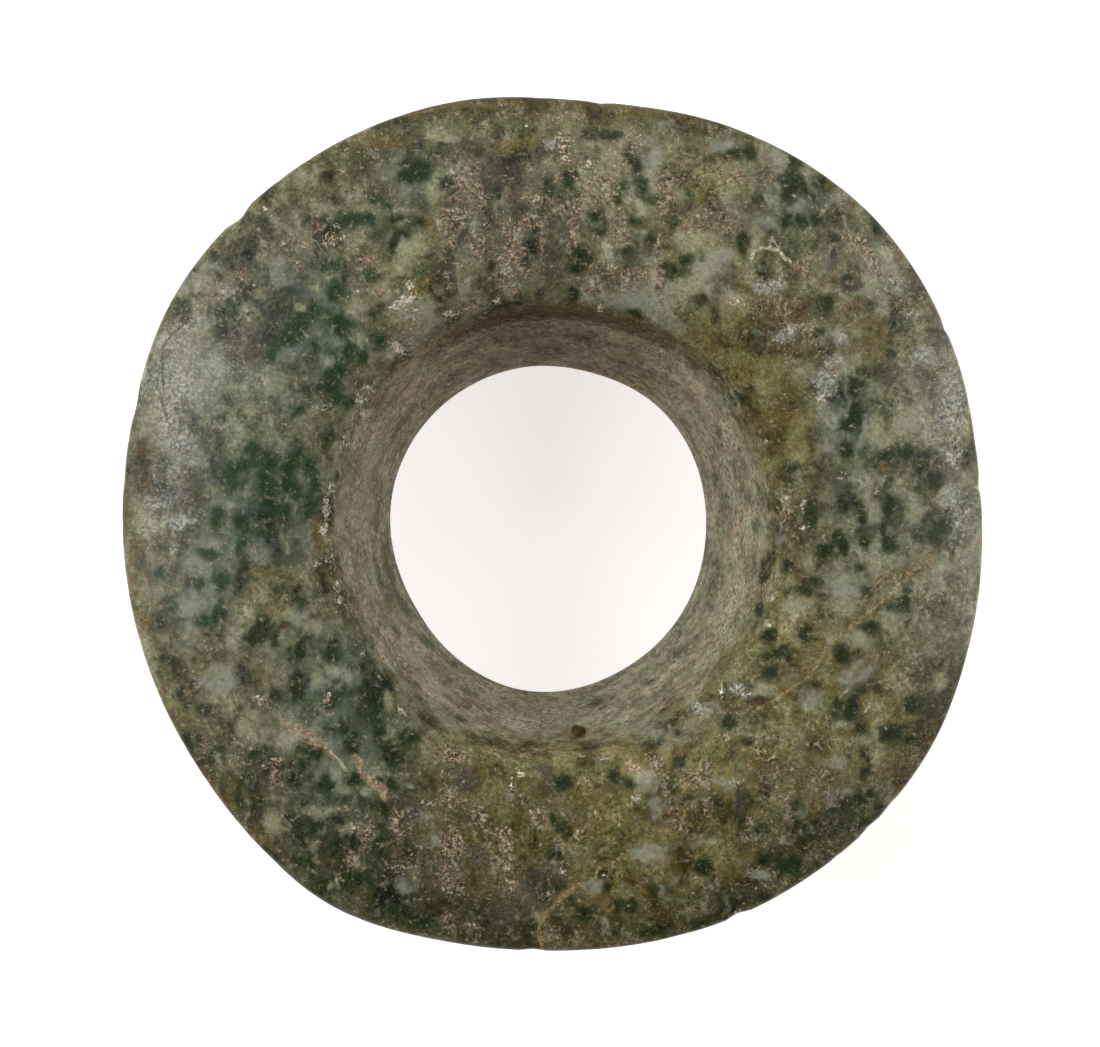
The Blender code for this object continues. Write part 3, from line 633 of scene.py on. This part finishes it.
def carveStone(points, normals, paint, settings):
    # the face is cut in from the CAD form; only the film in the throat stands proud of it
    radius = np.hypot(points[:, 0], points[:, 1])
    film = paint["throatFilm"]
    crust = paint["tanCrust"]
    rim = smoothStep(*settings["rimZone"], radius)
    foot = 1 - smoothStep(*settings["footZone"], points[:, 2])
    waves = noiseAt(points, settings["groundWaveWidth"], 5)
    lumps = noiseAt(points, settings["crustLumpWidth"], 9)
    pits = smoothStep(0.25, 0.7, noiseAt(points, settings["pitWidth"], 23))
    depth = settings["groundWaves"] * (1 + np.clip(waves, -1, 1))
    depth += settings["crustThickness"] * (1 - crust * smoothStep(-0.4, 0.3, lumps))
    depth += settings["pitDepth"] * pits * (0.25 + 0.75 * crust) * (1 - film)
    depth += settings["veinRecess"] * np.clip(paint["peachVein"], 0, 1)
    depth += settings["chipDepth"] * np.clip(paint["whiteChips"], 0, 1)
    depth *= (1 - rim) * (1 - foot) * (1 - 0.8 * film)
    depth -= settings["filmThickness"] * film * smoothStep(*settings["filmZone"], points[:, 2])
    moved = points - normals * depth[:, None]
    # the rim loses small chips and nibbles, straight in towards the middle
    inward = -points[:, :2] / radius[:, None]
    roughEdge = smoothStep(0.15, 0.8, noiseAt(points, settings["nibbleWidth"], 31))
    nibble = settings["nibbleDepth"] * roughEdge
    for x, y, reach, chipDepth in rimChips:
        distance = np.hypot(points[:, 0] - x, points[:, 1] - y) / reach
        nibble = np.maximum(nibble, chipDepth * np.clip(1.3 - distance, 0, 1))
    rimOnly = smoothStep(*settings["nibbleZone"], radius)
    moved[:, :2] += inward * ((nibble - settings["rimFill"]) * rimOnly)[:, None]
    return moved


def makeStone(settings):
    stone = copyStone(settings)
    print("stone copied,", len(stone.data.polygons), "faces")
    points = readVectors(stone.data.vertices, "co") / mm
    normals = readVectors(stone.data.vertex_normals, "vector")
    paint = paintStone(points, normals, settings)
    for name, values in paint.items():
        attribute = stone.data.attributes.new(name, "FLOAT", "POINT")
        attribute.data.foreach_set("value", np.asarray(values, np.float32))
    print("stone painted")
    carved = carveStone(points, normals, paint, settings)
    stone.data.vertices.foreach_set("co", (carved * mm).ravel())
    stone.data.update()
    print("stone carved")
    return stone


# Materials

def hexColour(text):
    channels = [int(text[i:i + 2], 16) / 255 for i in (1, 3, 5)]
    linear = [c / 12.92 if c <= 0.04045 else ((c + 0.055) / 1.055) ** 2.4 for c in channels]
    return (*linear, 1)


def addNode(tree, kind, inputs, **settings):
    node = tree.nodes.new(kind)
    for name, value in settings.items():
        setattr(node, name, value)
    for socket, value in inputs.items():
        if isinstance(value, bpy.types.NodeSocket):
            tree.links.new(value, node.inputs[socket])
        else:
            node.inputs[socket].default_value = value
    return node


def calculate(tree, operation, *values):
    return addNode(tree, "ShaderNodeMath", dict(enumerate(values)), operation=operation).outputs[0]


def readAttribute(tree, name):
    return addNode(tree, "ShaderNodeAttribute", {}, attribute_name=name).outputs["Fac"]


def stretch(tree, value, low, high, first=0.0, last=1.0, kind="LINEAR"):
    return addNode(tree, "ShaderNodeMapRange", {
        "Value": value, "From Min": low, "From Max": high, "To Min": first, "To Max": last,
    }, interpolation_type=kind).outputs[0]


def mixColours(tree, share, first, last, **settings):
    inputs = {0: share, 6: first, 7: last}
    return addNode(tree, "ShaderNodeMix", inputs, data_type="RGBA", **settings).outputs[2]


def newMaterial(name):
    material = bpy.data.materials.new(name)
    material.use_nodes = True
    material.node_tree.nodes.clear()
    return material


jadeSettings = {
    "ior": 1.66,  # jadeite
    "specular": 0.1,  # worn, it shines less than fresh polish
    "roughness": 0.42,
    "dullness": 0.4,  # how much rougher the mouth's slope is
    "rubbing": 0.015,  # mm, the fine unevenness under the gloss
    "warp": 0.9,  # mm by which the whole pattern is swirled
    "mottling": 1.05,  # light and dark of the finest mottling
    "leastMottling": 0.4,  # share of it where there are no flecks
    "clearness": 0.45,  # share of it that is left in the clearest jade
    "ground": ["#1a2014", "#40412c", "#5d5c40", "#717156", "#93957d"],
    "noiseSpan": (0.36, 0.64),  # where most of a noise's values lie
    # width in mm, stretch along x, y and z, and detail of each noise that the layers share
    "noises": {
        "cloud": (2.6, (1, 0.75, 1), 5.0),
        "drift": (5.0, (1, 1, 1), 2.0),
        "blotch": (1.2, (1, 0.65, 1), 2.0),
        "patch": (1.0, (1, 1, 1), 2.0),
        "crumb": (0.65, (1, 1, 1), 3.0),
        "grit": (0.25, (1, 1, 1), 3.0),
        "streak": (1.1, (0.7, 0.7, 0.5), 4.0),
        "wallGrain": (0.5, (1, 1, 0.28), 3.0),
    },
}


def layer(*values, **more):
    return values, more


# Each layer lies over the ones before it: its mark, the noise that frays it and how strongly, the
# low and high edge of its mask, its cover, two colours, the noise that mixes them, its roughness
jadeLayers = [
    layer(None, "drift", 4, 0.1, 1, 0.4, "#57492b", "#57492b", label="brown drift"),
    layer(None, "drift", -4, 0.1, 1, 0.4, "#3f4e35", "#3f4e35", label="green veil"),
    layer("oliveDrifts", "drift", 1.6, 0, 1, 0.75, "#3d320b", "#857b45", "cloud"),
    layer("greenDrifts", "drift", 1.6, 0, 1, 0.75, "#17271b", "#67786a", "cloud"),
    layer("paleDrifts", "drift", 1.6, 0.1, 1.1, 0.7, "#615f49", "#a9aa95", "cloud"),
    layer("greyDrifts", "drift", 1.2, 0, 1, 0.5, "#2c302a", "#85887b", "cloud"),
    # darker drifts, partly painted shade along the lower rim
    layer("darkDriftsAndShade", "cloud", 1.6, 0, 1, 0.85, "#101307", "#37361f", "cloud"),
    layer("flecks", "grit", 4.5, 0.9, 1.75, 0.55, "#857a5c", "#ab9e7b", gather=("cloud", 4)),  # dusty tan
    layer("flecks", "grit", -5, 1.45, 1.85, 0.75, "#93866a", "#b9ad90", None, 0.6, gather=("drift", 4)),
    layer(None, "blotch", 4, 0.35, 0.75, 0.6, "#36422a", "#202c19", label="small green spots"),
    # pale patches, partly a painted grey-blue sheen near the rims
    layer("paleCloudsAndSheen", "patch", 1.6, 0.05, 0.95, 0.8, "#8f8e6d", "#8a8e80", "drift"),
    layer("greenSpots", "blotch", -2.6, -0.75, 0.5, 0.94, "#33482e", "#0f200e"),
    layer("oliveSpots", "blotch", -2.6, -0.75, 0.5, 0.95, "#2d3b1d", "#081402"),
    layer("smokyPatches", "patch", -0.8, 0.3, 0.8, 0.7, "#4a4738", "#403e33"),
    layer("ochreStains", "patch", 1.8, 0.25, 0.9, 0.65, "#5c512e", "#6c5b2d"),
    layer("rustStains", "patch", -1.8, 0.2, 0.9, 0.75, "#382b1a", "#64502f", "crumb"),
    layer("tanCrust", "crumb", 2.6, 0.25, 0.95, 0.82, "#292117", "#9c886e", "grit", 0.75, height=0.05),
    layer("tanCrust", "patch", -4, 1, 1.7, 0.6, "#2d2819", "#19150c", None, 0.8),  # pits
    layer("tanCrust", "grit", 4.5, 0.85, 1.6, 0.7, "#a2937a", "#c8bca4", None, 0.75, height=0.03),  # grains
    layer("creamCurls", "crumb", 2.4, 0.3, 0.75, 0.85, "#6b5d42", "#bdae8d", "grit", 0.7,
          contour=("blotch", 20)),
    # white scuffs, partly a painted sheen over the left and right rims
    layer("whiteScuffsAndSheen", "patch", 1.2, 0.2, 1, 0.75, "#6a6b60", "#a2a397", "grit", 0.6),
    layer("whiteScuffsAndSheen", "grit", 4, 0.4, 1.6, 0.6, "#a6a598", "#c2c1b3", None, 0.6),  # grains
    layer("tanVeins", "patch", 2.4, 0.1, 0.9, 0.5, "#443b1d", "#7f6f45", "crumb", falloff=0.18),  # halo
    layer("tanVeins", "crumb", 2.6, 0.1, 0.8, 0.75, "#554730", "#a89570", "grit", 0.6, falloff=0.6),
    layer("throatFilm", "patch", 1.6, 0.2, 0.9, 0.88, "#68634e", "#9c947f", "cloud", 0.95),
    layer("throatGreen", "blotch", 3, 0.2, 0.9, 0.8, "#6b6b52", "#a5a387", "cloud", 0.95),
    # painted light on the throat's top wall, standing in for light from below
    layer("throatTopPaintedLight", "streak", 1.6, 0.1, 1.2, 0.7, "#7b6c58", "#b3a28a", "cloud", 0.95),
    layer("throatFilm", "streak", 4.5, 1, 1.9, 0.6, "#3d3828", "#5d5744", "crumb", 0.95),  # dark streaks
    layer("throatScuffs", "wallGrain", -4.5, 0.3, 1.2, 0.7, "#6f6150", "#bdab95", "grit", 0.95),
    layer("throatFilm", "wallGrain", 4.5, 1, 1.9, 0.6, "#948874", "#c4b7a1", None, 0.95,
          gather=("streak", 3)),  # grains
    layer("throatFilm", "wallGrain", -4.5, 1, 1.8, 0.55, "#56503d", "#3d3725", None, 0.95),  # pits
    layer("throatSpots", "crumb", 1.2, 0.2, 0.9, 0.75, "#4e5740", "#3c4832", None, 0.95),
    layer("mouthShade", "crumb", 2.4, 0.1, 1, 0.8, "#352d15", "#554823", "crumb"),
    layer("mouthWear", "crumb", 3.6, 0.8, 1.3, 0.8, "#776850", "#c9bca3", "grit", 0.8),
    layer("whiteChips", "grit", 3.6, -0.1, 0.6, 0.92, "#8c7f67", "#d3cab8", "grit", 0.8),
    layer("peachVein", "crumb", 2.6, -0.2, 0.8, 0.78, "#5e503a", "#bca383", "grit", 0.8, height=0.04),
    layer("darkCracks", "crumb", 3.6, 0.1, 0.8, 0.6, "#4a4226", "#352f1c", falloff=0.6),
    layer("paleScratches", "crumb", 2.2, 0.1, 0.6, 0.8, "#8b8870", "#bbb7a0", "grit", 0.7, falloff=0.6),
    layer("tieHoleRust", "patch", 1, 0.2, 1, 0.7, "#6a5535", "#553c1c", None, 0.9),
    # painted shade: the tie hole's dark inside
    layer("tieHole", "patch", 0.6, 0.1, 0.6, 0.95, "#56421c", "#2b200b", "patch", 0.9),
]


def addLayer(
    tree, fields, span, base, mark, field, wander, low, high, cover, first, last, tone=None,
    roughness=None, falloff=0, gather=None, contour=None, height=0, label=None,
):
    value = calculate(tree, "MULTIPLY_ADD", fields[field], wander, -0.5 * wander)
    if falloff:
        # the distance changes sign across the line, so it stays exact between vertices
        distance = calculate(tree, "ABSOLUTE", readAttribute(tree, mark))
        near = calculate(tree, "ADD", value, fields["lineNearness"])
        value = calculate(tree, "MULTIPLY_ADD", distance, -falloff, near)
    elif mark:
        value = calculate(tree, "ADD", value, readAttribute(tree, mark))
    if gather:
        # flecks come together where another noise is high
        other, strength = gather
        lowered = calculate(tree, "ADD", value, -0.5 * strength)
        value = calculate(tree, "MULTIPLY_ADD", fields[other], strength, lowered)
    if contour:
        # thin lines, where another noise crosses its middle value
        other, sharpness = contour
        away = calculate(tree, "ABSOLUTE", calculate(tree, "ADD", fields[other], -0.5))
        value = calculate(tree, "MULTIPLY_ADD", away, -sharpness, value)
    mask = stretch(tree, value, low, high, last=cover, kind="SMOOTHSTEP")
    if tone:
        share = stretch(tree, fields[tone], *span)
    else:
        share = stretch(tree, value, low, 2 * high - low)
    colour = mixColours(tree, share, hexColour(first), hexColour(last))
    made = dict(base)
    made["colour"] = mixColours(tree, mask, base["colour"], colour, label=label or mark)
    if roughness:
        made["roughness"] = addNode(tree, "ShaderNodeMix", {
            0: mask, 2: base["roughness"], 3: roughness,
        }).outputs[0]
    if height:
        made["height"] = calculate(tree, "MULTIPLY_ADD", mask, height, base["height"])
    return made


# Jade, ground and rubbed smooth by hand: a waxy, cloudy green, spotted dark, with tan crust
# from the ground in its pits
def makeJade(settings, layers):
    material = newMaterial("jade")
    tree = material.node_tree
    span = settings["noiseSpan"]
    objectPlace = addNode(tree, "ShaderNodeTexCoord", {}).outputs["Object"]
    inMm = addNode(tree, "ShaderNodeMapping", {"Vector": objectPlace, "Scale": (1 / mm,) * 3}).outputs[0]
    swirl = addNode(tree, "ShaderNodeTexNoise", {"Vector": inMm, "Scale": 0.6, "Detail": 1.0})
    place = addNode(tree, "ShaderNodeVectorMath", {
        0: swirl.outputs["Color"], 1: (settings["warp"],) * 3, 2: inMm,
    }, operation="MULTIPLY_ADD").outputs[0]
    fields = {"lineNearness": readAttribute(tree, "lineNearness")}
    for i, (name, (width, stretches, detail)) in enumerate(settings["noises"].items()):
        mapping = addNode(tree, "ShaderNodeMapping", {
            "Vector": place, "Location": (i * 7.3, 2.1, 5.7), "Scale": [s / width for s in stretches],
        })
        fields[name] = addNode(tree, "ShaderNodeTexNoise", {
            "Vector": mapping.outputs[0], "Scale": 1.0, "Detail": detail, "Roughness": 0.6,
        }).outputs["Fac"]

    ramp = addNode(tree, "ShaderNodeValToRGB", {"Fac": fields["cloud"]})
    stops = ramp.color_ramp.elements
    while len(stops) < len(settings["ground"]):
        stops.new(0.5)
    for stop, position, text in zip(stops, np.linspace(*span, len(stops)), settings["ground"]):
        stop.position = position
        stop.color = hexColour(text)
    slope = readAttribute(tree, "mouthSlope")
    roughness = calculate(tree, "MULTIPLY_ADD", slope, settings["dullness"], settings["roughness"])
    base = {"colour": ramp.outputs["Color"], "roughness": roughness, "height": 0.0}
    for values, more in layers:
        base = addLayer(tree, fields, span, base, *values, **more)

    fine = addNode(tree, "ShaderNodeTexNoise", {
        "Vector": inMm, "Scale": 2.4, "Detail": 5.0, "Roughness": 0.85,
    }).outputs["Fac"]
    shade = stretch(tree, fine, 0.3, 0.7, 1 - settings["mottling"], 1 + settings["mottling"])
    # the clearest jade is smooth, with little of the fine mottling
    clouded = stretch(tree, fields["drift"], 0.4, 0.6, 1.0, settings["clearness"])
    flecked = calculate(tree, "ADD", readAttribute(tree, "flecks"), settings["leastMottling"])
    share = calculate(tree, "MULTIPLY", clouded, flecked)
    mottled = mixColours(tree, share, base["colour"], shade, blend_type="MULTIPLY")
    rubbed = calculate(tree, "MULTIPLY_ADD", fine, settings["rubbing"], base["height"])
    bump = addNode(tree, "ShaderNodeBump", {"Height": rubbed, "Strength": 1.0, "Distance": mm})
    shader = addNode(tree, "ShaderNodeBsdfPrincipled", {
        "Base Color": mottled, "Roughness": base["roughness"], "IOR": settings["ior"],
        "Specular IOR Level": settings["specular"], "Normal": bump.outputs[0],
    })
    addNode(tree, "ShaderNodeOutputMaterial", {"Surface": shader.outputs[0]})
    return material


stone = makeStone(stoneSettings)
stone.data.materials.clear()
stone.data.materials.append(makeJade(jadeSettings, jadeLayers))
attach(stone, "root")
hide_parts("ear_flare")
print("jade made")


# Floor and light

studioSettings = {
    "floorSize": 3.0,  # m
    "edgeHeight": 0.25,  # m, the panel's raised edge, which hides the horizon
    "floorColour": "#c8c8c8",
    "floorRoughness": 0.9,
    "glowColour": "#f3eeec",
    "floorGlow": 0.85,  # the floor is a lit panel
    "worldStrength": 0.04,
    # place in m, size in m, power in W
    "left": ((-0.55, 0.06, 0.42), 0.4, 3.8),
    "right": ((0.55, 0.06, 0.42), 0.4, 2.8),
    "top": ((0.0, 0.55, 0.45), 0.4, 1.7),
}


# White acrylic light panel: matt, even and bright
def makeFloor(settings):
    bpy.ops.object.select_all(action="DESELECT")
    bpy.ops.mesh.primitive_plane_add(size=settings["floorSize"], location=(0, 0, 0))
    floor = bpy.context.active_object
    floor.name = "floor"
    bpy.ops.object.mode_set(mode="EDIT")
    bpy.ops.mesh.select_all(action="SELECT")
    bpy.ops.mesh.extrude_edges_move(TRANSFORM_OT_translate={"value": (0, 0, settings["edgeHeight"])})
    bpy.ops.object.mode_set(mode="OBJECT")
    material = newMaterial("whiteAcrylicPanel")
    shader = addNode(material.node_tree, "ShaderNodeBsdfPrincipled", {
        "Base Color": hexColour(settings["floorColour"]), "Roughness": settings["floorRoughness"],
        "Emission Color": hexColour(settings["glowColour"]), "Emission Strength": settings["floorGlow"],
    })
    addNode(material.node_tree, "ShaderNodeOutputMaterial", {"Surface": shader.outputs[0]})
    floor.data.materials.append(material)


def makeLights(settings):
    for name in ("left", "right", "top"):
        place, size, power = settings[name]
        aim = (-Vector(place)).to_track_quat("-Z", "Y")
        bpy.ops.object.light_add(type="AREA", location=place, rotation=aim.to_euler())
        light = bpy.context.active_object
        light.name = name + "Light"
        light.data.size = size
        light.data.energy = power
    world = bpy.data.worlds.new("studio")
    world.use_nodes = True
    background = world.node_tree.nodes["Background"]
    background.inputs["Color"].default_value = (1, 1, 1, 1)
    background.inputs["Strength"].default_value = settings["worldStrength"]
    bpy.context.scene.world = world
    bpy.context.scene.view_settings.view_transform = "Standard"


makeFloor(studioSettings)
makeLights(studioSettings)
print("floor and lights made")
